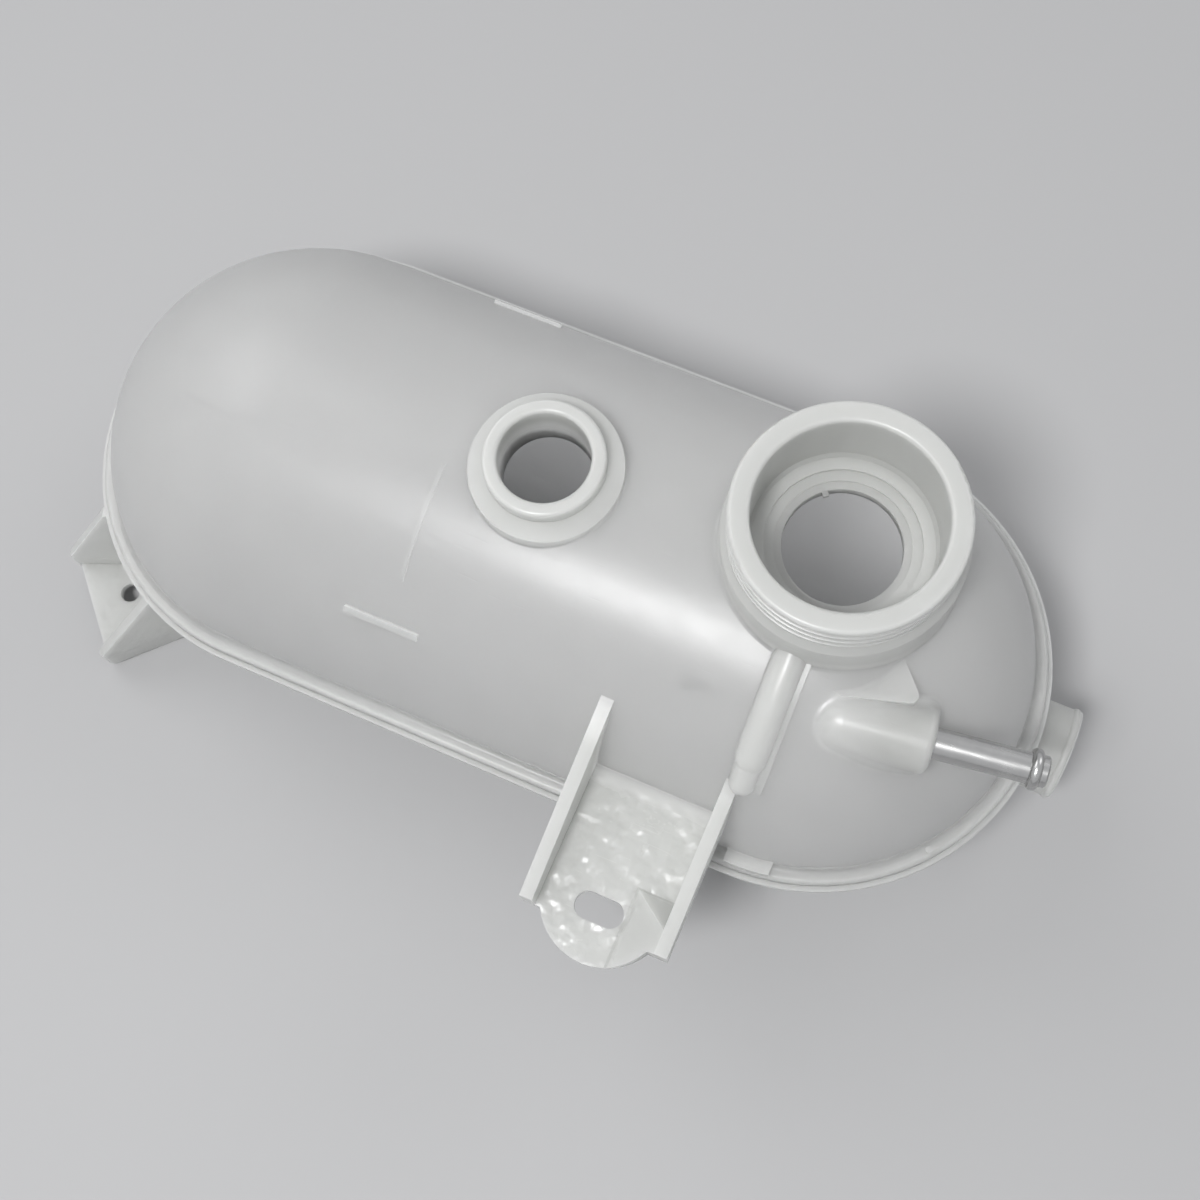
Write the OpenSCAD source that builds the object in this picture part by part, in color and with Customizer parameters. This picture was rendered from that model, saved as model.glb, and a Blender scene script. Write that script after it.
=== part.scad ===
// Coolant expansion tank in translucent plastic: two moulded half shells
// welded along a flange, with a metal bleed pipe set in the upper one.
// Body shapes are drawn about the middle of the weld plane, long axis on X.
// Each node is then moved so that the foot hole's underside is the origin.

/* [Tank body] */
// outside radius of the tank, which is also the radius of its domed ends
body_r = 59.5; // [56:0.5:63]
// distance between the centres of the two domed ends
end_span = 151.2; // [140:0.2:170]
// thickness of the moulded wall
wall = 3; // [2.4:0.1:3.6]

/* [Weld flange] */
// how far the upper lip stands out from the tank side
upper_lip = 4; // [3:0.1:4.6]
// how far the lower lip stands out from the tank side
lower_lip = 5.5; // [4.8:0.1:7]
// thickness of each lip
lip_t = 3.2; // [2.4:0.1:4]
// radius of the hollow curve between tank side and lip
lip_fillet = 1.5; // [0.8:0.1:2]
// radius of the round on each lip's outer edge
lip_round = 1.2; // [0.6:0.1:1.6]

/* [Filler neck] */
// neck axis along the tank, from the centre of the right domed end
neck_dx = -1.2; // [-4:0.1:1]
// neck axis across the tank, from the tank's long axis
neck_y = 12; // [9:0.5:14]
// outside radius of the neck where the cap sits
neck_r = 28.7; // [27.5:0.1:30]
// radius of the neck's mouth
mouth_r = 23.3; // [22.8:0.1:24.6]
// height of the neck's rim above the top of the tank
neck_rise = 25; // [21:0.5:30]
// extra radius of the plain collar at the foot of the neck
collar_step = 1.4; // [0.8:0.1:2]
// height of that collar above the top of the tank
collar_rise = 10.5; // [9:0.5:13]
// height of the seal seat above the top of the tank
seat_rise = 3.5; // [3:0.1:5]
// radius of the throat hole in the neck's floor
throat_r = 15; // [12:0.1:16]
// depth of the neck's floor below the top of the tank
floor_drop = 2; // [1:0.1:2.5]

/* [Sensor neck] */
// sensor neck axis along the tank, from the middle of the tank
sensor_x = -1; // [-12:0.5:8]
// sensor neck axis across the tank
sensor_y = 3; // [-4:0.5:6]
// outside radius of the sensor neck
sensor_r = 15.5; // [14.8:0.1:17]
// radius of the sensor bore
sensor_bore_r = 11.8; // [10:0.1:12.4]
// height of its rim above the top of the tank
sensor_rise = 9; // [7:0.5:14]
// how far its sleeve reaches below the top of the tank
sleeve_drop = 8; // [6:0.5:14]
// radius of the collar at its foot
sensor_collar_r = 19.8; // [18.8:0.1:22]

/* [Overflow duct] */
// duct line along the tank, from the centre of the right domed end
duct_dx = -2.6; // [-6:0.1:0]
// radius of the half-round duct
duct_r = 4.2; // [3:0.1:5]
// angle round the tank at which the duct ends
duct_end_a = 52; // [46:0.5:58]

/* [Bleed pipe and boss] */
// outside radius of the metal pipe and of the seat it is set in
pipe_r = 4; // [3:0.1:4.5]
// wall thickness of the metal pipe
pipe_wall = 1; // [0.6:0.1:1.4]
// length of pipe that stands out of the boss
pipe_out = 28.2; // [18:0.2:34]
// length of pipe held in the boss
pipe_in = 13; // [10:0.5:15]
// radius of the boss
boss_r = 8.4; // [7.6:0.1:9.4]
// length of the boss, between its ball end and its flat end
boss_len = 22.6; // [20:0.2:26]
// depth of the pipe and boss axis below the top of the tank
boss_drop = 13.5; // [12.5:0.5:15]
// angle that the pipe turns away from the tank's long axis
pipe_turn = 7.8; // [4:0.2:12]

/* [Front bracket] */
// middle of the bracket along the tank, from the right end's centre
bracket_dx = -23.2; // [-30:0.2:-16]
// clear width between the bracket's two ribs
bracket_gap = 33; // [30:0.5:38]
// thickness of each rib
rib_t = 3.5; // [2.6:0.1:4.5]
// height of the bracket plate's upper face above the weld plane
plate_top = 23.5; // [20:0.5:26]
// thickness of the bracket plate
plate_t = 3; // [2.4:0.1:4]
// height of the ribs above the plate at their outer ends
rib_h = 9; // [6:0.5:12]
// distance from the long axis to the outer ends of the ribs
rib_reach = 94.3; // [90:0.5:98]
// distance from the long axis to the centre of the rounded tab
tab_reach = 86; // [83:0.5:89]
// radius of the rounded tab
tab_r = 17; // [15.5:0.1:18]
// half the width of the fixing slot
slot_r = 3.6; // [3:0.1:4.5]
// distance between the centres of the slot's two round ends
slot_run = 6; // [4:0.5:9]

/* [Outlet] */
// outlet axis across the tank
outlet_y = 7.4; // [4:0.2:12]
// depth of the outlet axis below the weld plane
outlet_depth = 27.5; // [25:0.5:32]
// outside radius of the outlet
outlet_r = 13; // [11:0.1:14]
// wall thickness of the outlet
outlet_wall = 2.6; // [2:0.1:3.5]
// distance from the right end's centre to the open end of the outlet
outlet_reach = 75.6; // [66:0.1:85]

/* [Left foot] */
// direction in which the fixing hole lies from the left end, seen from above
foot_a = 222.9; // [218:0.1:228]
// depth of the foot plate's upper face below the weld plane
foot_depth = 50; // [47:0.5:52]
// thickness of the foot plate
foot_t = 2.5; // [2:0.1:3.5]
// radius of the fixing hole in the foot
foot_hole_r = 2.9; // [2.4:0.1:3.4]
// distance from the left end's centre to the fixing hole
foot_hole_reach = 75; // [72:0.5:78]
// distance from the left end's centre to the foot plate's edge
foot_reach = 87.2; // [84:0.2:92]
// half the clear width between the foot's two gussets, at the plate's edge
foot_half = 14.8; // [13:0.2:17]
// angle by which the rear gusset opens outwards
rear_gusset_a = 21; // [14:1:24]
// angle by which the front gusset opens outwards
front_gusset_a = 2.5; // [0:0.5:8]
// thickness of each gusset
gusset_t = 2.8; // [2.2:0.1:3.6]
// height of the rear gusset above the plate at its outer end
rear_gusset_h = 6; // [4:0.5:8]
// height of the front gusset above the plate at its outer end
front_gusset_h = 1; // [0.5:0.5:4]
// depth to which the gussets reach below the plate's underside
gusset_drop = 6.5; // [4:0.5:7]

/* [Hidden] */
$fn = 128;

// small overlap with which added shapes sink into the wall
sink = 1;
// distance that cutting shapes reach past what they cut
past = 40;

end_x = end_span / 2;
inner_r = body_r - wall;

// row origin in body coordinates
origin_x = -end_x + foot_hole_reach * cos(foot_a);
origin_y = foot_hole_reach * sin(foot_a);
origin_z = -foot_depth - foot_t;

// filler neck levels
neck_x = end_x + neck_dx;
neck_top = body_r + neck_rise;
collar_top = body_r + collar_rise;
seat_z = body_r + seat_rise;
floor_z = body_r - floor_drop;
neck_root = body_r * 0.55;
rim_round = 1;
seat_r = mouth_r - 0.9;
ring_r = throat_r + 4.5;
ring_in_r = throat_r + 2;
seat_lip = 0.4;
ring_depth = 1.4;
ring_in_depth = 1.8;
throat_depth = 2.4;
throat_edge = 2.6;
// small tab left by the mould on the throat's edge
burr_a = 128;
burr_w = 1.5;
burr_h = 1.2;
burr_out = 1.3;

// sensor neck levels
sensor_top = body_r + sensor_rise;
sleeve_end = body_r - sleeve_drop;
sleeve_r = sensor_bore_r + 2.6;
sensor_collar_top = body_r + 2;
sensor_cone_top = body_r + 4.5;
sensor_root = body_r * 0.8;

// overflow duct
duct_x = end_x + duct_dx;
duct_start_a = 14;
duct_step_a = 44;
duct_ring_r = body_r + 0.2;
duct_tail_r = duct_r - 0.7;
duct_strip_w = 5.4;
duct_strip_h = 1.1;

// boss and pipe, measured from the centre of the boss's ball end
ball_x = end_x + body_r * 0.242;
ball_y = -body_r * 0.4134;
boss_z = body_r - boss_drop;
boss_round = 2;
pipe_bore_r = pipe_r - pipe_wall;
bleed_bore_r = pipe_bore_r - 0.4;
pipe_bead_r = pipe_r + 1.3;
pipe_bead_round = 1.5;
pipe_bead_gap = 3.2;
pipe_chamfer = 0.4;
// shelf between the boss and the neck, measured from the ball's centre
shelf_z = boss_z + boss_r + 0.4;
shelf_back = ball_y + 18.6;
shelf_front_x = ball_x - 2.7;
shelf_front_y = ball_y + 3.1;
shelf_end_x = ball_x + 13;
shelf_end_y = ball_y + 9.8;
shelf_round = 2;
shelf_front_a = -73;
shelf_side_a = 43;
shelf_side = 10;

// front bracket
bracket_x = end_x + bracket_dx;
rib_x = bracket_gap / 2;
rib_top = plate_top + rib_h;
left_rib_y = body_r * 0.697;
right_rib_y = body_r * 0.795;
tab_x = -0.2;
slot_x = -1;
slot_y = tab_reach + 3;
fold_x = 5.8;
fold_start = tab_reach - 6;
fold_len = 8;
// raised pad on the flange, from the right end's centre
pad_dx = -0.9;
pad_len = 12.4;
pad_t = 3;
pad_inset = 0.6;
// small round pip further along the flange
pip_a = 39;
pip_r = 0.9;
pip_h = 0.8;

// raised level marks
mark_w = 1.9;
mark_h = 1;
front_mark_y = 45;
front_mark_x = -38.5;
front_mark_len = 20.9;
back_mark_y = 51.5;
back_mark_x = -41;
back_mark_len = 20;
// fine raised line that starts near the tank's crest
line_x = -25.8;
line_w = 0.8;
line_h = 0.35;
line_start_a = 5;
line_run_a = 31;

// outlet
outlet_bore_r = outlet_r - outlet_wall;
outlet_root = 44;
outlet_bead = 0.5;
outlet_bead_round = 1.4;

// left foot
gusset_over = 1.8;
gusset_round = 3.5;
gusset_flat = 24;
gusset_back = 62;
rear_slope = 1.7;
front_slope = 1.17;

module to_row() {
  translate([-origin_x, -origin_y, -origin_z])
    children();
}

// turns a revolved shape so that its axis lies on X, starting at +Y
module axis_on_x() {
  rotate([90, 0, 0])
    rotate([0, 90, 0])
      children();
}

// right half of the tank's long section, for revolving
module long_section(r) {
  intersection() {
    union() {
      translate([0, -end_x])
        circle(r = r);
      translate([0, end_x])
        circle(r = r);
      translate([-r, -end_x])
        square([2 * r, end_span]);
    }
    translate([0, -end_x - r])
      square([r, end_span + 2 * r]);
  }
}

module half_tank(r) {
  axis_on_x()
    rotate_extrude(angle = 180)
      long_section(r);
}

module whole_tank(r) {
  axis_on_x()
    rotate_extrude()
      long_section(r);
}

// section of one lip: hollow curve at its root, round on its outer edge
module lip_section(width) {
  difference() {
    translate([body_r - sink, 0])
      square([sink + lip_fillet, lip_t + lip_fillet]);
    translate([body_r + lip_fillet, lip_t + lip_fillet])
      circle(r = lip_fillet);
  }
  translate([body_r - sink, 0])
    square([sink + width, lip_t - lip_round]);
  translate([body_r - sink, 0])
    square([sink + width - lip_round, lip_t]);
  translate([body_r + width - lip_round, lip_t - lip_round])
    circle(r = lip_round);
}

// sweeps a section, drawn with its radius on X, round the tank's outline
module along_flange() {
  translate([end_x, 0, 0])
    rotate([0, 0, -90])
      rotate_extrude(angle = 180)
        children();
  translate([-end_x, 0, 0])
    rotate([0, 0, 90])
      rotate_extrude(angle = 180)
        children();
  for (side = [0, 180])
    rotate([0, 0, side])
      translate([end_x, 0, 0])
        rotate([90, 0, -90])
          linear_extrude(end_span)
            children();
}

module lip(width) {
  along_flange()
    lip_section(width);
}

// quarter round on a rim's outer edge, and the hollow that leaves one inside
module rim_outside(r, top) {
  translate([r - rim_round, top - rim_round])
    circle(r = rim_round);
}

module rim_inside(r, top) {
  difference() {
    translate([r - rim_round, top - rim_round])
      square([2 * rim_round, rim_round + past]);
    translate([r + rim_round, top - rim_round])
      circle(r = rim_round);
  }
}

module filler_neck_body() {
  translate([neck_x, neck_y, 0])
    rotate_extrude() {
      polygon([
        [0, neck_root],
        [neck_r + collar_step, neck_root],
        [neck_r + collar_step, collar_top],
        [neck_r, collar_top + 2 * collar_step],
        [neck_r, neck_top - rim_round],
        [neck_r - rim_round, neck_top],
        [0, neck_top]
      ]);
      rim_outside(neck_r, neck_top);
    }
}

// stepped seat, throat and the space under the neck's floor
module filler_neck_space() {
  translate([neck_x, neck_y, 0]) {
    rotate_extrude() {
      polygon([
        [0, floor_z - sink],
        [throat_r, floor_z - sink],
        [throat_r, seat_z - throat_edge],
        [ring_in_r, seat_z - throat_depth],
        [ring_in_r, seat_z - ring_in_depth],
        [ring_r, seat_z - ring_depth],
        [ring_r, seat_z - seat_lip],
        [seat_r, seat_z],
        [mouth_r, seat_z + rim_round],
        [mouth_r, neck_top + past],
        [0, neck_top + past]
      ]);
      rim_inside(mouth_r, neck_top);
    }
    translate([0, 0, floor_z - past])
      cylinder(r = mouth_r, h = past);
  }
}

module throat_burr() {
  translate([neck_x, neck_y, 0])
    rotate([0, 0, burr_a])
      translate([throat_r - burr_out, -burr_w / 2, seat_z - throat_edge - burr_h])
        cube([burr_out + sink, burr_w, burr_h]);
}

module sensor_neck_body() {
  translate([sensor_x, sensor_y, 0])
    rotate_extrude() {
      polygon([
        [0, sensor_root],
        [sensor_collar_r, sensor_root],
        [sensor_collar_r, sensor_collar_top],
        [sensor_r, sensor_cone_top],
        [sensor_r, sensor_top - rim_round],
        [sensor_r - rim_round, sensor_top],
        [0, sensor_top]
      ]);
      rim_outside(sensor_r, sensor_top);
    }
}

module sensor_sleeve() {
  translate([sensor_x, sensor_y, sleeve_end])
    cylinder(r = sleeve_r, h = sleeve_drop);
}

module sensor_bore() {
  translate([sensor_x, sensor_y, 0]) {
    translate([0, 0, sleeve_end - past])
      cylinder(r = sensor_bore_r, h = 2 * past + sleeve_drop + sensor_rise);
    rotate_extrude()
      rim_inside(sensor_bore_r, sensor_top);
  }
}

// half-round duct that runs round the tank side from the filler neck
module overflow_duct() {
  translate([duct_x, 0, 0]) {
    axis_on_x()
      rotate([0, 0, 90 + duct_start_a])
        rotate_extrude(angle = duct_step_a - duct_start_a)
          translate([duct_ring_r, 0])
            circle(r = duct_r);
    axis_on_x()
      rotate([0, 0, 90 + duct_start_a])
        rotate_extrude(angle = duct_end_a - duct_start_a)
          translate([duct_ring_r, 0])
            circle(r = duct_tail_r);
    axis_on_x()
      rotate([0, 0, 90 + duct_start_a])
        rotate_extrude(angle = duct_end_a + 1 - duct_start_a)
          translate([body_r - sink, 0])
            square([sink + duct_strip_h, duct_strip_w]);
    translate([0, -duct_ring_r * sin(duct_step_a), duct_ring_r * cos(duct_step_a)])
      sphere(r = duct_r);
    translate([0, -duct_ring_r * sin(duct_end_a), duct_ring_r * cos(duct_end_a)])
      sphere(r = duct_tail_r);
  }
}

// places a shape with its axis on the pipe's axis, at the ball's centre
module on_pipe_axis() {
  translate([ball_x, ball_y, boss_z])
    rotate([0, 0, pipe_turn])
      rotate([0, 90, 0])
        children();
}

// boss that swells out of the domed end and holds the pipe
module pipe_boss() {
  on_pipe_axis()
    rotate_extrude()
      difference() {
        union() {
          circle(r = boss_r);
          square([boss_r, boss_len - boss_round]);
          square([boss_r - boss_round, boss_len]);
          translate([boss_r - boss_round, boss_len - boss_round])
            circle(r = boss_round);
        }
        translate([-2 * boss_r, -2 * boss_r])
          square([2 * boss_r, 4 * boss_r + boss_len]);
      }
}

// where an edge of the shelf leaves its rounded corner, or a point along it
function shelf_corner(a, along) = [
  shelf_end_x + shelf_round * cos(a) - along * sin(a),
  shelf_end_y + shelf_round * sin(a) + along * cos(a)
];

// level shelf between the boss and the foot of the filler neck
module saddle() {
  translate([0, 0, shelf_z - past / 2])
    linear_extrude(past / 2) {
      polygon([
        [end_x + sink, shelf_front_y + shelf_round],
        [shelf_front_x, shelf_front_y],
        shelf_corner(shelf_front_a, 0),
        shelf_corner(shelf_side_a, 0),
        shelf_corner(shelf_side_a, shelf_side),
        [end_x + sink, shelf_back]
      ]);
      translate([shelf_end_x, shelf_end_y])
        circle(r = shelf_round);
    }
}

module pipe_seat() {
  on_pipe_axis()
    translate([0, 0, boss_len - pipe_in])
      cylinder(r = pipe_r, h = pipe_in + past);
}

module bleed_bore() {
  on_pipe_axis()
    translate([0, 0, -past])
      cylinder(r = bleed_bore_r, h = past + boss_len);
}

// one rib seen from the side; runs from the tank wall to its outer end
module rib(y_on_tank) {
  rotate([90, 0, 90])
    linear_extrude(rib_t)
      polygon([
        [-rib_reach, plate_top - plate_t],
        [-rib_reach, rib_top],
        [-y_on_tank, sqrt(body_r * body_r - y_on_tank * y_on_tank)],
        [-y_on_tank + wall, plate_top - plate_t]
      ]);
}

module tab_outline() {
  translate([tab_x, -tab_reach])
    circle(r = tab_r);
  translate([-rib_x - sink, -rib_reach])
    square([bracket_gap + 2 * sink, rib_reach - body_r * 0.8]);
}

// corner of the tab that is folded up against the right rib
module fold() {
  intersection() {
    translate([0, 0, plate_top - plate_t])
      linear_extrude(plate_t + rib_h)
        tab_outline();
    translate([fold_x, -tab_reach - 2 * tab_r, 0])
      rotate([-90, 0, 0])
        linear_extrude(4 * tab_r)
          polygon([
            [-sink, -plate_top + plate_t],
            [0, -plate_top],
            [rib_x - fold_x, -rib_top],
            [rib_x - fold_x + sink, -rib_top],
            [rib_x - fold_x + sink, -plate_top + plate_t]
          ]);
    rotate([90, 0, 90])
      linear_extrude(rib_x + sink)
        polygon([
          [-fold_start, plate_top - plate_t],
          [-fold_start, plate_top],
          [-fold_start - fold_len, rib_top],
          [-tab_reach - 2 * tab_r, rib_top],
          [-tab_reach - 2 * tab_r, plate_top - plate_t]
        ]);
  }
}

module front_bracket() {
  translate([bracket_x, 0, 0]) {
    translate([-rib_x - rib_t, 0, 0])
      rib(left_rib_y);
    translate([rib_x, 0, 0])
      rib(right_rib_y);
    translate([0, 0, plate_top - plate_t])
      linear_extrude(plate_t)
        tab_outline();
    fold();
  }
}

module front_slot() {
  translate([bracket_x + slot_x, -slot_y, plate_top - past / 2])
    linear_extrude(past) {
      translate([-slot_run / 2, 0])
        circle(r = slot_r);
      translate([slot_run / 2, 0])
        circle(r = slot_r);
      square([slot_run, 2 * slot_r], center = true);
    }
}

// raised pad and pip on the flange beside the bracket
module flange_pads() {
  intersection() {
    translate([end_x + pad_dx, -body_r - upper_lip, lip_t - sink])
      cube([pad_len, 2 * upper_lip, pad_t + sink]);
    translate([end_x, 0, 0])
      cylinder(r = body_r + upper_lip - pad_inset, h = 2 * lip_t + pad_t);
  }
  translate([end_x, 0, 0])
    rotate([0, 0, -pip_a])
      translate([body_r + upper_lip / 2, 0, lip_t - sink])
        cylinder(r = pip_r, h = sink + pip_h);
}

// raised bar that follows the tank side at one level
module level_bar(x, len, y, side) {
  mid_a = side * asin(y / body_r);
  span_a = mark_w * 180 / PI / body_r;
  translate([x, 0, 0])
    axis_on_x()
      rotate([0, 0, 90 + mid_a - span_a / 2])
        rotate_extrude(angle = span_a)
          translate([body_r - sink, 0])
            square([sink + mark_h, len]);
}

// fine raised line from near the tank's crest towards the front level bar
module cross_line() {
  translate([line_x, 0, 0])
    axis_on_x()
      rotate([0, 0, 90 + line_start_a])
        rotate_extrude(angle = line_run_a)
          translate([body_r - sink, 0])
            square([sink + line_h, line_w]);
}

module upper_shell() {
  color([0.86, 0.87, 0.84])
    to_row() {
      throat_burr();
      difference() {
        union() {
          difference() {
            union() {
              half_tank(body_r);
              lip(upper_lip);
              filler_neck_body();
              sensor_neck_body();
              overflow_duct();
              saddle();
              front_bracket();
              flange_pads();
              level_bar(front_mark_x, front_mark_len, front_mark_y, 1);
              level_bar(back_mark_x, back_mark_len, back_mark_y, -1);
              cross_line();
            }
            whole_tank(inner_r);
          }
          sensor_sleeve();
          pipe_boss();
        }
        filler_neck_space();
        sensor_bore();
        pipe_seat();
        bleed_bore();
        front_slot();
      }
    }
}

module outlet_body() {
  translate([end_x, outlet_y, -outlet_depth])
    rotate([0, 90, 0])
      rotate_extrude() {
        translate([0, outlet_root])
          square([outlet_r, outlet_reach - outlet_root]);
        translate([outlet_r + outlet_bead - outlet_bead_round, outlet_reach - outlet_bead_round])
          circle(r = outlet_bead_round);
      }
}

module outlet_bore() {
  translate([end_x, outlet_y, -outlet_depth])
    rotate([0, 90, 0])
      translate([0, 0, outlet_root - past / 4])
        cylinder(r = outlet_bore_r, h = outlet_reach - outlet_root + past);
}

// gusset seen from the side: rounded outer end, sloping top, level foot
module gusset_side(h, slope) {
  low = -foot_depth - foot_t - gusset_drop;
  high = h - foot_depth;
  tip = gusset_over - gusset_round;
  polygon(concat(
    [for (a = [-90:15:0]) [
      tip + gusset_round * cos(a),
      low + gusset_round + gusset_round * sin(a)
    ]],
    [
      [gusset_over, high],
      [gusset_over + (high + lip_t) / slope, -lip_t],
      [-gusset_back, -lip_t],
      [-gusset_back, -foot_depth - foot_t],
      [-gusset_flat - gusset_drop, -foot_depth - foot_t],
      [-gusset_flat, low]
    ]
  ));
}

// gusset standing on one side of the foot plate, its end rounded in plan
module gusset(turn, h, slope) {
  translate([foot_reach, foot_half, 0])
    rotate([0, 0, turn])
      intersection() {
        rotate([90, 0, 0])
          translate([0, 0, -gusset_t])
            linear_extrude(gusset_t)
              gusset_side(h, slope);
        translate([0, 0, -body_r - gusset_drop])
          linear_extrude(body_r + gusset_drop) {
            translate([-gusset_back, 0])
              square([gusset_back + gusset_over - gusset_t / 2, gusset_t]);
            translate([gusset_over - gusset_t / 2, gusset_t / 2])
              circle(r = gusset_t / 2);
          }
      }
}

// one side of the foot plate, out to the middle of its gusset
module foot_plate_half(turn) {
  edge = foot_half + gusset_t / 2;
  translate([0, 0, -foot_depth - foot_t])
    linear_extrude(foot_t)
      polygon([
        [foot_reach, 0],
        [foot_reach, edge],
        [foot_reach - gusset_back * cos(turn), edge - gusset_back * sin(turn)],
        [foot_reach - gusset_back, 0]
      ]);
}

module foot_bracket() {
  translate([-end_x, 0, 0])
    rotate([0, 0, foot_a]) {
      gusset(front_gusset_a, front_gusset_h, front_slope);
      foot_plate_half(front_gusset_a);
      mirror([0, 1, 0]) {
        gusset(rear_gusset_a, rear_gusset_h, rear_slope);
        foot_plate_half(rear_gusset_a);
      }
    }
}

module foot_hole() {
  translate([origin_x, origin_y, origin_z - past])
    cylinder(r = foot_hole_r, h = past + foot_t + sink);
}

module lower_shell() {
  color([0.84, 0.85, 0.82])
    to_row()
      difference() {
        union() {
          rotate([180, 0, 0])
            half_tank(body_r);
          rotate([180, 0, 0])
            lip(lower_lip);
          outlet_body();
          foot_bracket();
        }
        whole_tank(inner_r);
        outlet_bore();
        foot_hole();
      }
}

// metal tube with a hose bead near its open end
module bleed_pipe() {
  color([0.75, 0.76, 0.78])
    to_row()
      on_pipe_axis()
        translate([0, 0, boss_len - pipe_in])
          difference() {
            rotate_extrude() {
              polygon([
                [0, 0],
                [pipe_r, 0],
                [pipe_r, pipe_in + pipe_out - pipe_chamfer],
                [pipe_r - pipe_chamfer, pipe_in + pipe_out],
                [0, pipe_in + pipe_out]
              ]);
              translate([pipe_bead_r - pipe_bead_round, pipe_in + pipe_out - pipe_bead_gap])
                circle(r = pipe_bead_round);
            }
            translate([0, 0, -sink])
              cylinder(r = pipe_bore_r, h = pipe_in + pipe_out + 2 * sink);
          }
}

upper_shell();
lower_shell();
bleed_pipe();
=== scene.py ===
import math

import bmesh
import bpy
import numpy as np
from mathutils import Matrix, Vector
from mathutils.bvhtree import BVHTree


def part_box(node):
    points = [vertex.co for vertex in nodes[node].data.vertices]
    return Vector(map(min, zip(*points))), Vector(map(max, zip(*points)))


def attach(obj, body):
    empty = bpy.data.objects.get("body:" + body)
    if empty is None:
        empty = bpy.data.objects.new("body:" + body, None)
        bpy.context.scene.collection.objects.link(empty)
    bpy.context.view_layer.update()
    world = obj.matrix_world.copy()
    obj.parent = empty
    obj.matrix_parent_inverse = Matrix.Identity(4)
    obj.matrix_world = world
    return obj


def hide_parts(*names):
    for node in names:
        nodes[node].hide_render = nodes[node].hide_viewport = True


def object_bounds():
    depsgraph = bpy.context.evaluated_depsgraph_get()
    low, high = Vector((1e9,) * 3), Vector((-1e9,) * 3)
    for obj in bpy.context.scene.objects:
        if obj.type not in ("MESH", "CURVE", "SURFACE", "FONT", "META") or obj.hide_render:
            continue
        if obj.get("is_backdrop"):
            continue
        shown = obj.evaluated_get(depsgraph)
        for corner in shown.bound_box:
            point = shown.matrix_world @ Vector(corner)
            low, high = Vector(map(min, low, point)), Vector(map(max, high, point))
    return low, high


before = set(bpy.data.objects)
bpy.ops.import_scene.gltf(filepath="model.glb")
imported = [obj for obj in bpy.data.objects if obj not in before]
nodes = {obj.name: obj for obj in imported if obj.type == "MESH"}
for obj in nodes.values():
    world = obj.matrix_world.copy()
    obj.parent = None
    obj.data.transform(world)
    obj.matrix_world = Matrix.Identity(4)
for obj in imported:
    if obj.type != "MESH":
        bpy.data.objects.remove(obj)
cad_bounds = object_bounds()

# Sizes in millimetres about the middle of the weld plane, as the source has them
BODY_R = 59.5
END_X = 75.6
ORIGIN = np.array([-130.54072, -51.05407, -52.5])

NECK_X, NECK_Y = END_X - 1.2, 12.0
NECK_R, NECK_TOP = 28.7, BODY_R + 25
COLLAR_R, COLLAR_TOP = NECK_R + 1.4, BODY_R + 10.5
SENSOR_X, SENSOR_Y, SENSOR_COLLAR_R = -1.0, 3.0, 19.8
DUCT_X, DUCT_RING_R = END_X - 2.6, BODY_R + 0.2
DUCT_R, DUCT_TAIL_R = 4.2, 3.5
DUCT_FROM, DUCT_TO, DUCT_TAIL_TO = map(math.radians, (14, 44, 52))
BALL = np.array([END_X + BODY_R * 0.242, -BODY_R * 0.4134, BODY_R - 13.5])
PIPE_TURN = math.radians(7.8)
BOSS_AXIS = np.array([math.cos(PIPE_TURN), math.sin(PIPE_TURN), 0])
BOSS_R, BOSS_LEN, BOSS_ROUND = 8.4, 22.6, 2.0
BOSS_MIDDLE = BALL + BOSS_AXIS * BOSS_LEN / 2
OUTLET_Y, OUTLET_Z, OUTLET_R = 7.4, -27.5, 13.0

# Radii of the root curves where one form grows out of another
NECK_ROOT, SENSOR_ROOT, DUCT_ROOT, OUTLET_ROOT = 2.2, 1.3, 1.1, 2.0
BOSS_ROOT, BOSS_ROOT_END = 9.0, 5.0
# how far a root's edges sink into the forms, how deep its back lies, and its steps across
SUNK, BURIED, ARC = 0.08, 0.9, 8
SETTLE, MOST_RESTS = 12, 900

# Round-bottomed thread groove outside the filler neck, and the finely turned band under it
GROOVE_R, GROOVE_DEPTH, GROOVE_PITCH, GROOVE_TURNS = 1.15, 0.85, 3.4, 2.5
GROOVE_START, GROOVE_RUN_OUT = COLLAR_TOP + 4.2, 0.05
GROOVE_STEPS, GROOVE_SIDES = 56, 14
BAND_FROM, BAND_TO, BAND_SIDES = COLLAR_TOP + 3.0, NECK_TOP - 1.3, 288
BAND_OUT, BAND_IN, BAND_EDGE = 0.06, 1.6, 0.26
# the band's corners lie between those of the groove and the neck
BAND_PHASE = 0.37

# Corners closer than this are one corner
SAME_PLACE = 1e-4
# A face belongs to the form that is near and faces the same way; this weighs the turn, in mm
TURN_COST = 0.2
# Where a form's smooth normal leans further from the face than this, the face stays flat
LEAST_LEAN = 0.3

# Zones of the plastic: from and to along one body axis
BRACKET_Y = (-56, -50)
PLATE_Z, PLATE_TOP_Z = (8, 12), (24, 25)
FOOT_TOP_Z = (-46, -42)
# Heights off the wall and other reaches in metres, as a shader has them
LIP_OFF, PART_OFF, BRACKET_OFF = (0.0002, 0.0006), (0.0006, 0.006), (0.0015, 0.005)
INSIDE_OFF = (-0.0025, -0.0015)
BOSS_REACH = (0.012, 0.021)
FOOT_UNDERSIDE = (-0.001, 0.001)

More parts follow.
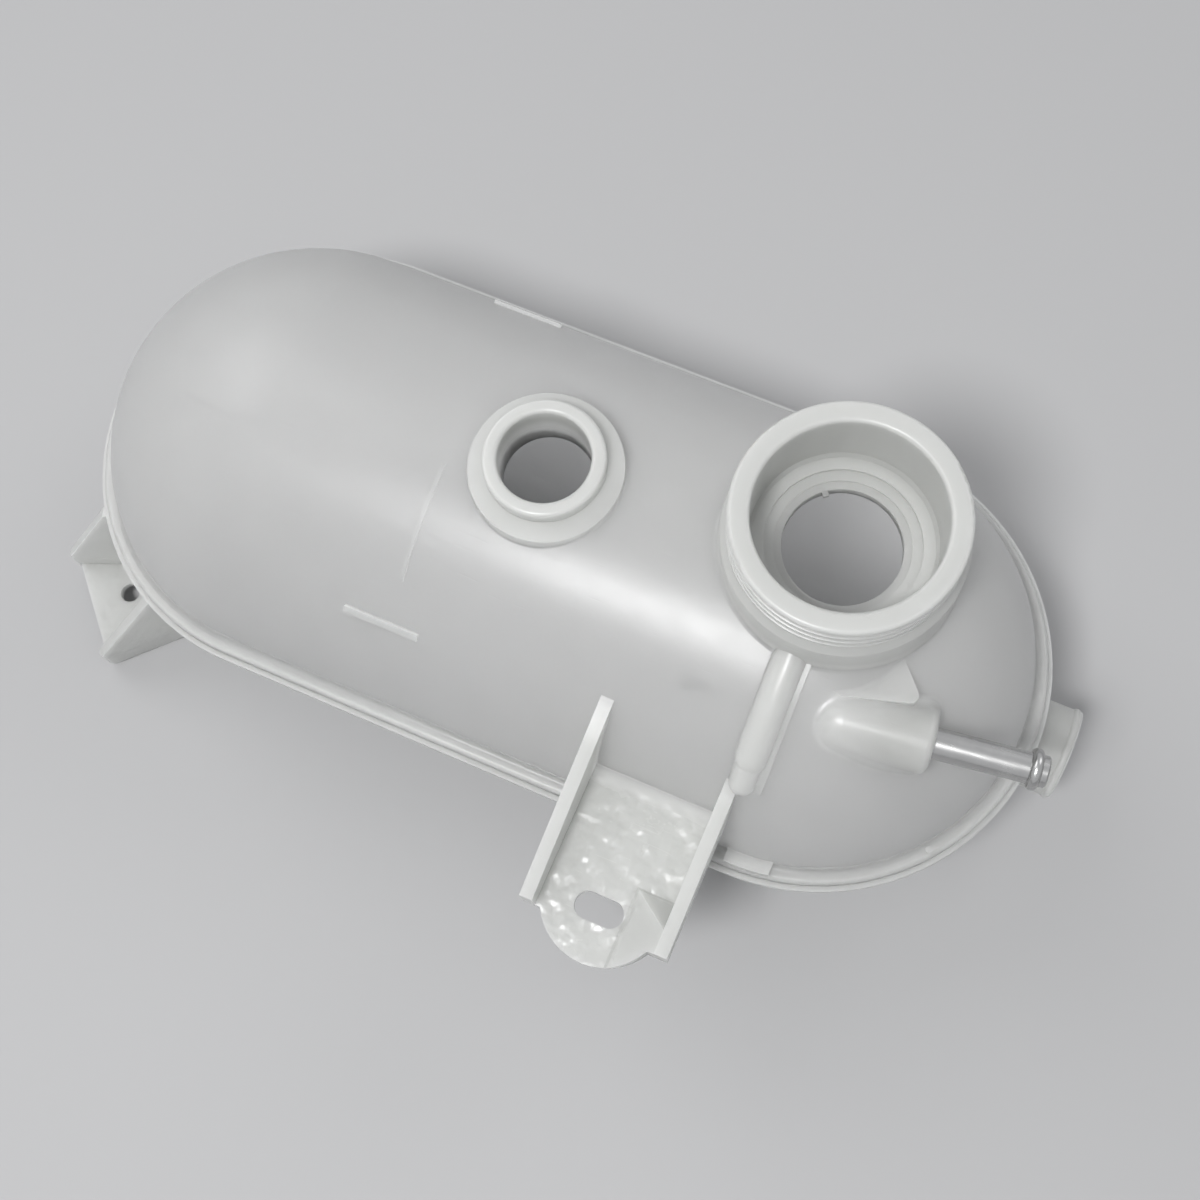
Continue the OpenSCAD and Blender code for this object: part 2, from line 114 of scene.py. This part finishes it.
# Stage and lamps
FLOOR_RADIUS, FLOOR_GAP, FLOOR_MIDDLE = 16, 0.0002, (0.07, 0.03)
ROOM_LIGHT, ROOM_SEEN = 0.40, 0.30
CAMERA_PLACE = (0.223897, -0.073394, 0.525162)
CAMERA_TURN = (
    (0.915144, -0.370557, 0.158738),
    (0.399572, 0.885965, -0.235388),
    (-0.053412, 0.278841, 0.958851),
)


# Node trees
class Sock:
    """A socket with arithmetic, so that masks and heights read as formulas."""

    def __init__(self, tree, out):
        self.t, self.o = tree, out

    def __add__(self, b):
        return self.t.math("ADD", self, b)

    def __radd__(self, b):
        return self.t.math("ADD", b, self)

    def __sub__(self, b):
        return self.t.math("SUBTRACT", self, b)

    def __rsub__(self, b):
        return self.t.math("SUBTRACT", b, self)

    def __mul__(self, b):
        return self.t.math("MULTIPLY", self, b)

    def __rmul__(self, b):
        return self.t.math("MULTIPLY", b, self)


class Tree:
    """Builds a shader or geometry tree; every node comes from node()."""

    def __init__(self, tree):
        self.tree = tree

    def node(self, kind, settings=None, inputs=None, out=0):
        n = self.tree.nodes.new(kind)
        for k, v in (settings or {}).items():
            setattr(n, k, v)
        for k, v in (inputs or {}).items():
            self.put(n.inputs[k], v)
        return Sock(self, n.outputs[out]) if out is not None else n

    def put(self, sock, v):
        if isinstance(v, Sock):
            self.tree.links.new(v.o, sock)
        else:
            sock.default_value = v

    def math(self, op, a, b, clamp=False):
        return self.node("ShaderNodeMath", {"operation": op, "use_clamp": clamp}, {0: a, 1: b})

    def vector(self, op, a, b=None, scale=None):
        n = self.node("ShaderNodeVectorMath", {"operation": op}, {0: a}, out=None)
        if b is not None:
            self.put(n.inputs[1], b)
        if scale is not None:
            self.put(n.inputs["Scale"], scale)
        return Sock(self, n.outputs[0])

    def measure(self, v):
        return self.node("ShaderNodeVectorMath", {"operation": "LENGTH"}, {0: v}, out=1)

    def ramp(self, v, lo, hi):
        """Soft step from 0 at lo to 1 at hi."""
        return self.node(
            "ShaderNodeMapRange",
            {"interpolation_type": "SMOOTHSTEP"},
            {"Value": v, "From Min": lo, "From Max": hi},
        )

    def noise(self, where, scale, detail, rough):
        return self.node(
            "ShaderNodeTexNoise",
            {},
            {"Vector": where, "Scale": scale, "Detail": detail, "Roughness": rough},
        )

    def mix(self, f, a, b):
        n = self.node("ShaderNodeMix", {"data_type": "RGBA"}, {0: f, 6: a, 7: b}, out=None)
        return Sock(self, n.outputs[2])

    def blend(self, f, a, b):
        return self.node("ShaderNodeMixShader", {}, {0: f, 1: a, 2: b})


def material(name):
    mat = bpy.data.materials.new(name)
    mat.use_nodes = True
    mat.node_tree.nodes.clear()
    return mat, Tree(mat.node_tree)


def finish_shader(t, shader):
    t.node("ShaderNodeOutputMaterial", {}, {"Surface": shader}, out=None)


def row_m(x=0.0, y=0.0, z=0.0):
    """A place in body millimetres as row metres."""
    return tuple((np.array([x, y, z]) - ORIGIN) / 1000)


def row_span(axis, span):
    """Two places along one body axis, in millimetres, as row metres."""
    return [(mm - ORIGIN[axis]) / 1000 for mm in span]


# Materials
def off_wall(t, at):
    """Height over the capsule's outside, in metres, from the place in the row."""
    body = t.vector("SUBTRACT", at, row_m())
    x = t.node("ShaderNodeSeparateXYZ", {}, {"Vector": body})
    reach = END_X / 1000
    along = t.math("MINIMUM", t.math("MAXIMUM", x, -reach), reach)
    middle = t.node("ShaderNodeCombineXYZ", {}, {"X": along})
    return t.measure(t.vector("SUBTRACT", body, middle)) - BODY_R / 1000


def milky_plastic(name, wall, inside, thick):
    """Moulded polypropylene; wall, inside and thick are each a tint and a soak depth.

    Light goes through the thin wall, less so through what stands off it.
    """
    mat, t = material(name)
    at = t.node("ShaderNodeTexCoord", out=3)
    part = t.node("ShaderNodeSeparateXYZ", {}, {"Vector": at}, out=None)
    y, z = Sock(t, part.outputs[1]), Sock(t, part.outputs[2])
    off = off_wall(t, at)
    # a third of the change comes at the wall itself, the rest over the first 6 mm
    stands_off = t.ramp(off, *LIP_OFF) * 0.35 + t.ramp(off, *PART_OFF) * 0.65
    flow = t.ramp(t.noise(at, 11.0, 3.0, 0.5), 0.35, 0.70)
    grain = t.noise(at, 1100.0, 2.0, 0.5)
    mid = t.noise(at, 150.0, 3.0, 0.6)
    # the front bracket: its plate is wavy where the moulding has pulled, its ribs are dull
    bracket = (1 - t.ramp(y, *row_span(1, BRACKET_Y))) * t.ramp(off, *BRACKET_OFF)
    over_plate = t.ramp(z, *row_span(2, PLATE_TOP_Z))
    wavy_zone = bracket * (1 - over_plate) * t.ramp(z, *row_span(2, PLATE_Z))
    dull_zone = bracket * over_plate
    from_boss = t.measure(t.vector("SUBTRACT", at, row_m(*BOSS_MIDDLE)))
    boss_zone = 1 - t.ramp(from_boss, *BOSS_REACH)
    foot_zone = (1 - t.ramp(z, *row_span(2, FOOT_TOP_Z))) * t.ramp(z, *FOOT_UNDERSIDE)
    # even about zero, so that the edge of a wavy zone is no step
    wave = t.noise(at, 170.0, 1.5, 0.5) - 0.5
    scuff_at = t.node(
        "ShaderNodeMapping", {}, {"Vector": at, "Rotation": (0.3, 0.2, 0.7), "Scale": (60, 900, 400)}
    )
    scuff = t.ramp(t.noise(scuff_at, 1.0, 2.0, 0.6), 0.66, 0.78)
    rough = 0.27 + 0.08 * mid + 0.05 * flow + 0.12 * scuff + 0.28 * dull_zone - 0.07 * wavy_zone
    height = grain * 0.10 + mid * 0.45 + scuff * -0.25 + wave * (wavy_zone * 24.0 + foot_zone * 12.0)
    bump = t.node("ShaderNodeBump", {}, {"Strength": 0.30, "Distance": 0.00022, "Height": height})

    def skin(tint, depth, dim=None):
        """Plastic that light soaks into; dim darkens it where it is over 0."""
        colour = t.mix(flow, (*tint, 1), (*(c * 0.90 for c in tint), 1))
        if dim is not None:
            colour = t.vector("SCALE", colour, scale=1 - dim)
        return t.node(
            "ShaderNodeBsdfPrincipled",
            {"subsurface_method": "RANDOM_WALK"},
            {
                "Base Color": colour,
                "Roughness": rough,
                "Normal": bump,
                "IOR": 1.49,
                "Subsurface Weight": 1.0,
                "Subsurface Radius": (1.0, 1.0, 1.0),
                "Subsurface Scale": depth,
            },
        )

    shell = t.blend(t.ramp(off, *INSIDE_OFF), skin(*inside), skin(*wall))
    finish_shader(t, t.blend(stands_off, shell, skin(*thick, boss_zone * 0.13)))
    return mat


def drawn_steel(name):
    """Bright drawn tube with fine lines along it and a little haze."""
    mat, t = material(name)
    at = t.node("ShaderNodeTexCoord", out=3)
    turned = t.node(
        "ShaderNodeMapping",
        {},
        {"Vector": at, "Rotation": (0, 0, -PIPE_TURN), "Scale": (25, 1100, 1100)},
    )
    lines = t.noise(turned, 1.0, 3.0, 0.65)
    stain = t.noise(at, 170.0, 3.0, 0.6)
    shader = t.node(
        "ShaderNodeBsdfPrincipled",
        {},
        {
            "Base Color": t.mix(stain, (0.42, 0.42, 0.42, 1), (0.55, 0.55, 0.54, 1)),
            "Metallic": 1.0,
            "Roughness": 0.16 + 0.13 * lines + 0.07 * stain,
            "Normal": t.node(
                "ShaderNodeBump", {}, {"Strength": 0.25, "Distance": 0.0001, "Height": lines}
            ),
        },
    )
    finish_shader(t, shader)
    return mat


PLASTIC = milky_plastic(
    "milky_plastic",
    wall=((0.83, 0.835, 0.815), 0.028),
    inside=((0.85, 0.855, 0.835), 0.065),
    thick=((0.57, 0.575, 0.56), 0.008),
)
STEEL = drawn_steel("drawn_steel")


# Distances to the plain forms
def length(v):
    return np.linalg.norm(v, axis=-1)


def tank(p):
    q = p.copy()
    q[..., 0] -= np.clip(q[..., 0], -END_X, END_X)
    return length(q) - BODY_R


def upright(x, y, r):
    return lambda p: np.hypot(p[..., 0] - x, p[..., 1] - y) - r


def outlet(p):
    return np.hypot(p[..., 1] - OUTLET_Y, p[..., 2] - OUTLET_Z) - OUTLET_R


def boss(p):
    q = p - BALL
    s = q @ BOSS_AXIS
    radial = length(q - s[..., None] * BOSS_AXIS)
    a, b = radial - (BOSS_R - BOSS_ROUND), s - (BOSS_LEN - BOSS_ROUND)
    barrel = np.hypot(np.maximum(a, 0), np.maximum(b, 0)) - BOSS_ROUND
    return np.where(s < 0, np.hypot(s, radial) - BOSS_R, barrel)


def duct(p):
    def bent(last, r):
        a = np.clip(np.arctan2(-p[..., 1], p[..., 2]), DUCT_FROM, last)
        middle = np.stack([DUCT_X + 0 * a, -DUCT_RING_R * np.sin(a), DUCT_RING_R * np.cos(a)], -1)
        return length(p - middle) - r

    return np.minimum(bent(DUCT_TO, DUCT_R), bent(DUCT_TAIL_TO, DUCT_TAIL_R))


def slope(f, p, e=1e-3):
    g = np.array([f(p + d) - f(p - d) for d in np.eye(3) * e])
    return g / np.linalg.norm(g)


# Meshes
def cleaned(mesh, merge=False, outwards=False):
    """The mesh with its loose corners merged, its faces turned outwards, or both."""
    bm = bmesh.new()
    bm.from_mesh(mesh)
    if merge:
        bmesh.ops.remove_doubles(bm, verts=bm.verts, dist=SAME_PLACE)
    if outwards:
        bmesh.ops.recalc_face_normals(bm, faces=bm.faces)
    bm.to_mesh(mesh)
    bm.free()
    return mesh


def solid(name, verts, faces):
    """Mesh in row millimetres from places in body millimetres, faces outwards."""
    mesh = bpy.data.meshes.new(name)
    mesh.from_pydata([tuple(v) for v in verts - ORIGIN], [], faces)
    return cleaned(mesh, outwards=True)


def in_millimetres(node):
    mesh = node.data.copy()
    mesh.transform(Matrix.Scale(1000, 4))
    return mesh


def as_object(mesh):
    o = bpy.data.objects.new(mesh.name, mesh)
    bpy.context.scene.collection.objects.link(o)
    return o


def as_shown(o):
    """A mesh of the object as its modifiers leave it."""
    return bpy.data.meshes.new_from_object(o.evaluated_get(bpy.context.evaluated_depsgraph_get()))


# Soft root curves
def seat_ball(fa, fb, radius, p):
    """Moves a ball's centre until the ball rests on both forms."""
    for _ in range(SETTLE):
        ga, gb, r = slope(fa, p), slope(fb, p), radius(p)
        c = ga @ gb
        ra, rb = r - fa(p), r - fb(p)
        k = 1 - c * c
        p = p + ga * (ra - c * rb) / k + gb * (rb - c * ra) / k
    return p, ga, gb


def rolled_root(fa, fb, radius, start, step):
    """Rolls a ball along the crease between two forms; gives its rests, and if they close."""
    p, ga, gb = seat_ball(fa, fb, radius, np.array(start, float))
    rests = [(p, ga, gb)]
    while len(rests) < MOST_RESTS:
        way = np.cross(ga, gb)
        p, ga, gb = seat_ball(fa, fb, radius, p + way / np.linalg.norm(way) * step)
        if len(rests) > 10 and length(p - rests[0][0]) < step * 0.75:
            return rests, True
        rests.append((p, ga, gb))
    return rests, False


def between(a, b, u):
    n = a * (1 - u) + b * u
    return n / np.linalg.norm(n)


def root(name, fa, fb, radius, start, step=1.0):
    """Solid strip with the ball's hollow on its outer side, edges just sunk, and its normals."""
    rests, closed = rolled_root(fa, fb, radius, start, step)
    verts, normals, faces = [], [], []
    for p, ga, gb in rests:
        r = radius(p)
        inward = (ga + gb) / max(1 + ga @ gb, 0.5)
        centre = p - inward * SUNK
        # the share of the arc that is sunk at each edge keeps the normal of its form
        arc = max(math.acos(np.clip(ga @ gb, -1, 0.999)), 0.05)
        edge = math.acos(1 - min(SUNK / r, 0.5)) / arc
        for i in range(ARC + 1):
            u = i / ARC
            verts.append(centre - between(ga, gb, u) * r)
            shade = min(max((u - edge) / max(1 - 2 * edge, 0.05), 0), 1)
            normals.append(between(ga, gb, shade))
        verts.append(p - inward * (r + BURIED))
        normals.append(-inward / np.linalg.norm(inward))
    ring, n = ARC + 2, len(rests)
    for j in range(n if closed else n - 1):
        a, b = j * ring, (j + 1) % n * ring
        for i in range(ring):
            k = (i + 1) % ring
            faces.append((a + i, a + k, b + k, b + i))
    if not closed:
        faces.append(tuple(range(ring)))
        faces.append(tuple((n - 1) * ring + i for i in reversed(range(ring))))
    return solid(name, np.array(verts), faces), np.array(normals)


def steady(r):
    return lambda p: r


def boss_radius(p):
    """Wide swell round the boss's ball end, less of it where the pipe comes out."""
    s = np.clip(((p - BALL) @ BOSS_AXIS - 6) / (BOSS_LEN - 8), 0, 1)
    s = s * s * (3 - 2 * s)
    return BOSS_ROOT + (BOSS_ROOT_END - BOSS_ROOT) * s


# Joining forms to a moulding
def join_form(mesh, other, operation):
    """Exact union or difference of two closed meshes."""
    body, tool = as_object(mesh), as_object(other)
    mod = body.modifiers.new("join", "BOOLEAN")
    mod.operation, mod.solver, mod.object = operation, "EXACT", tool
    out = as_shown(body)
    for o in (body, tool):
        bpy.data.objects.remove(o)
    return out


class Skin:
    """A surface that can be asked for its smooth normal near any place."""

    def __init__(self, mesh, vertex_normals=None):
        mesh.calc_loop_triangles()
        co = [v.co.copy() for v in mesh.vertices]
        tris = [tuple(t.vertices) for t in mesh.loop_triangles]
        self.tree = BVHTree.FromPolygons(co, tris)
        self.corners = [[co[i] for i in t] for t in tris]
        self.flat = [t.normal.copy() for t in mesh.loop_triangles]
        if vertex_normals is None:
            corner = [Vector(n.vector) for n in mesh.corner_normals]
            self.normals = [[corner[i] for i in t.loops] for t in mesh.loop_triangles]
        else:
            self.normals = [[Vector(vertex_normals[i]) for i in t] for t in tris]

    def misfit(self, face, sign):
        """How badly this surface explains a face: its distance and its turn."""
        _, _, i, d = self.tree.find_nearest(face.center)
        return d + (1 - self.flat[i].dot(face.normal) * sign) * TURN_COST

    def normal(self, p):
        at, _, i, _ = self.tree.find_nearest(p)
        a, b, c = self.corners[i]
        u, v = b - a, c - a
        n = u.cross(v)
        area = n.length_squared
        if area < 1e-16:
            return self.flat[i]
        wc = u.cross(at - a).dot(n) / area
        wb = (at - a).cross(v).dot(n) / area
        na, nb, nc = self.normals[i]
        return (na * (1 - wb - wc) + nb * wb + nc * wc).normalized()


def shade_like(mesh, skins):
    """Gives each corner the smooth normal of the form that its face lies on."""
    given = []
    for face in mesh.polygons:
        best, sign = min(skins, key=lambda s: s[0].misfit(face, s[1]))
        for v in face.vertices:
            p = mesh.vertices[v].co.lerp(face.center, 0.02)
            n = best.normal(p) * sign
            given.append(n if n.dot(face.normal) > LEAST_LEAN else face.normal)
    mesh.polygons.foreach_set("use_smooth", [True] * len(mesh.polygons))
    mesh.normals_split_custom_set([tuple(n) for n in given])


def moulding(name, node_name, roots, grooves=()):
    """The node's shape with its soft root curves and grooves, in one piece."""
    node = nodes[node_name]
    mesh = cleaned(in_millimetres(node), merge=True)
    # each form with 1, or with -1 where it is cut out and its normals turn round
    skins = [(Skin(in_millimetres(node)), 1)]
    for form, normals in roots:
        skins.append((Skin(form, normals), 1))
        mesh = join_form(mesh, form, "UNION")
    for groove in grooves:
        skins.append((Skin(groove), -1))
        mesh = join_form(mesh, groove, "DIFFERENCE")
    shade_like(mesh, skins)
    mesh.transform(Matrix.Scale(0.001, 4))
    mesh.name = name
    mesh.materials.clear()
    mesh.materials.append(PLASTIC)
    piece = as_object(mesh)
    piece.name = name
    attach(piece, "root")
    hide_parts(node_name)
    return piece


def thread_groove():
    """Round-bottomed helical groove, run out at both ends, from a node tree."""
    tree = bpy.data.node_groups.new("helical_groove", "GeometryNodeTree")
    sizes = {
        "Radius": NECK_R + GROOVE_R - GROOVE_DEPTH,
        "Pitch": GROOVE_PITCH,
        "Turns": GROOVE_TURNS,
        "Groove radius": GROOVE_R,
        "Run out": GROOVE_RUN_OUT,
    }
    for way in ("OUTPUT", "INPUT"):
        tree.interface.new_socket("Geometry", in_out=way, socket_type="NodeSocketGeometry")
    for key in sizes:
        tree.interface.new_socket(key, in_out="INPUT", socket_type="NodeSocketFloat")
    g = Tree(tree)
    given = g.node("NodeGroupInput", out=None)
    size = {key: Sock(g, given.outputs[key]) for key in sizes}
    spiral = g.node(
        "GeometryNodeCurveSpiral",
        {},
        {
            "Resolution": GROOVE_STEPS,
            "Rotations": size["Turns"],
            "Start Radius": size["Radius"],
            "End Radius": size["Radius"],
            "Height": size["Pitch"] * size["Turns"],
        },
    )
    factor = g.node("GeometryNodeSplineParameter", out=0)
    to_end = g.math("MINIMUM", factor, 1 - factor)
    away = (1 - g.math("DIVIDE", to_end, size["Run out"], clamp=True)) * size["Groove radius"]
    place = g.node("GeometryNodeInputPosition")
    outwards = g.vector("NORMALIZE", g.vector("MULTIPLY", place, (1, 1, 0)))
    moved = g.node(
        "GeometryNodeSetPosition",
        {},
        {"Geometry": spiral, "Offset": g.vector("SCALE", outwards, scale=away)},
    )
    ring = g.node(
        "GeometryNodeCurvePrimitiveCircle",
        {},
        {"Resolution": GROOVE_SIDES, "Radius": size["Groove radius"]},
    )
    tube = g.node(
        "GeometryNodeCurveToMesh", {}, {"Curve": moved, "Profile Curve": ring, "Fill Caps": True}
    )
    real = g.node("GeometryNodeRealizeInstances", {}, {"Geometry": tube})
    done = g.node("GeometryNodeSetMaterial", {}, {"Geometry": real, "Material": PLASTIC})
    g.node("NodeGroupOutput", {}, {"Geometry": done}, out=None)

    host = as_object(bpy.data.meshes.new("groove_host"))
    mod = host.modifiers.new("groove", "NODES")
    mod.node_group = tree
    for item in tree.interface.items_tree:
        if item.in_out == "INPUT" and item.name in sizes:
            mod[item.identifier] = sizes[item.name]
    mesh = as_shown(host)
    host.modifiers.clear()
    bpy.data.objects.remove(host)
    shift = np.array([NECK_X, NECK_Y, GROOVE_START]) - ORIGIN
    mesh.transform(Matrix.Translation(Vector(shift)))
    cleaned(mesh, merge=True, outwards=True)
    mesh.polygons.foreach_set("use_smooth", [True] * len(mesh.polygons))
    return mesh


def thread_band():
    """Finely turned band under the thread, so that the groove's edges run true."""
    slant = BAND_OUT + BAND_EDGE
    section = [
        (NECK_R + BAND_OUT, BAND_FROM),
        (NECK_R + BAND_OUT, BAND_TO),
        (NECK_R - BAND_EDGE, BAND_TO + slant),
        (NECK_R - BAND_IN, BAND_TO + slant),
        (NECK_R - BAND_IN, BAND_FROM - slant),
        (NECK_R - BAND_EDGE, BAND_FROM - slant),
    ]
    n = len(section)
    verts, normals, faces = [], [], []
    for i in range(BAND_SIDES):
        a = 2 * math.pi * (i + BAND_PHASE) / BAND_SIDES
        for r, z in section:
            verts.append((NECK_X + r * math.cos(a), NECK_Y + r * math.sin(a), z))
            normals.append((math.cos(a), math.sin(a), 0))
        here, there = n * i, n * ((i + 1) % BAND_SIDES)
        for k in range(n):
            faces.append((here + k, here + (k + 1) % n, there + (k + 1) % n, there + k))
    return solid("thread_band", np.array(verts), faces), np.array(normals)


# The pieces; each root starts from a place near its crease
neck_form = upright(NECK_X, NECK_Y, COLLAR_R)
sensor_form = upright(SENSOR_X, SENSOR_Y, SENSOR_COLLAR_R)
upper_roots = [
    root("neck_root", tank, neck_form, steady(NECK_ROOT), (NECK_X - 33, NECK_Y, 60)),
    root("sensor_root", tank, sensor_form, steady(SENSOR_ROOT), (SENSOR_X + 21, SENSOR_Y, 60)),
    root("boss_root", tank, boss, boss_radius, BALL + (-12, -6, 8), 0.8),
    root("duct_root", tank, duct, steady(DUCT_ROOT), (DUCT_X + 5.5, -34, 52), 0.7),
    thread_band(),
]
outlet_start = (END_X + 48, OUTLET_Y, OUTLET_Z + 15)
lower_roots = [root("outlet_root", tank, outlet, steady(OUTLET_ROOT), outlet_start)]
moulding("upper_moulding", "upper_shell", upper_roots, [thread_groove()])
moulding("lower_moulding", "lower_shell", lower_roots)

pipe = nodes["bleed_pipe"]
pipe.data.materials.clear()
pipe.data.materials.append(STEEL)

# Floor, room and lamps
low = min(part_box(n)[0][2] for n in nodes)
bpy.ops.mesh.primitive_circle_add(
    vertices=96, radius=FLOOR_RADIUS, fill_type="NGON", location=(*FLOOR_MIDDLE, low - FLOOR_GAP)
)
floor = bpy.context.object
floor.name = "floor"
floor_mat, ft = material("pale_floor")
floor_paint = {"Base Color": (0.47, 0.47, 0.475, 1), "Roughness": 0.75}
finish_shader(ft, ft.node("ShaderNodeBsdfPrincipled", {}, floor_paint))
floor.data.materials.append(floor_mat)
floor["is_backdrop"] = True

world = bpy.data.worlds.new("room")
bpy.context.scene.world = world
world.use_nodes = True
world.node_tree.nodes.clear()
wt = Tree(world.node_tree)
path = wt.node("ShaderNodeLightPath", out=None)
ray = {k: Sock(wt, path.outputs[f"Is {k} Ray"]) for k in ("Camera", "Glossy", "Transmission")}
seen = wt.math("MAXIMUM", ray["Camera"], wt.math("MAXIMUM", ray["Glossy"], ray["Transmission"]))
room = {"Color": (0.97, 0.98, 1.0, 1), "Strength": seen * ROOM_SEEN + ROOM_LIGHT}
back = wt.node("ShaderNodeBackground", {}, room)
wt.node("ShaderNodeOutputWorld", {}, {"Surface": back}, out=None)


def lamp(name, azimuth, elevation, distance, size, power):
    """Round soft lamp aimed at the middle of the tank."""
    light = bpy.data.lights.new(name, "AREA")
    light.shape, light.size, light.energy = "DISK", size, power
    o = bpy.data.objects.new(name, light)
    bpy.context.scene.collection.objects.link(o)
    a, e = math.radians(azimuth), math.radians(elevation)
    way = Vector((math.cos(a) * math.cos(e), math.sin(a) * math.cos(e), math.sin(e)))
    o.location = Vector(row_m(10, -10, 0)) + way * distance
    o.rotation_euler = way.to_track_quat("Z", "Y").to_euler()


lamp("key", azimuth=-98, elevation=67, distance=1.3, size=0.28, power=10.6)
lamp("left", azimuth=160, elevation=50, distance=1.5, size=1.0, power=4.6)
lamp("back", azimuth=55, elevation=40, distance=1.7, size=0.9, power=3.0)

# Camera
cam_data = bpy.data.cameras.new("photo_view")
cam_data.lens = 52.865
cam_data.sensor_width = 36.0
cam_data.clip_start = 0.01
cam = bpy.data.objects.new("photo_view", cam_data)
bpy.context.scene.collection.objects.link(cam)
cam.matrix_world = Matrix.Translation(CAMERA_PLACE) @ Matrix(CAMERA_TURN).to_4x4()
bpy.context.scene.camera = cam
bpy.context.scene.view_settings.view_transform = "Standard"
# three lamps and an even room need no light tree, and the render is quicker without it
bpy.context.scene.cycles.use_light_tree = False

# Bounds and hand over
new_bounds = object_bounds()


def plain(v):
    if hasattr(v, "items"):
        return {k: plain(w) for k, w in v.items()}
    if hasattr(v, "__len__") and not isinstance(v, str):
        return [plain(w) for w in v]
    return v if isinstance(v, (str, type(None))) else float(v)


{"cad": plain(cad_bounds), "scene": plain(new_bounds)}
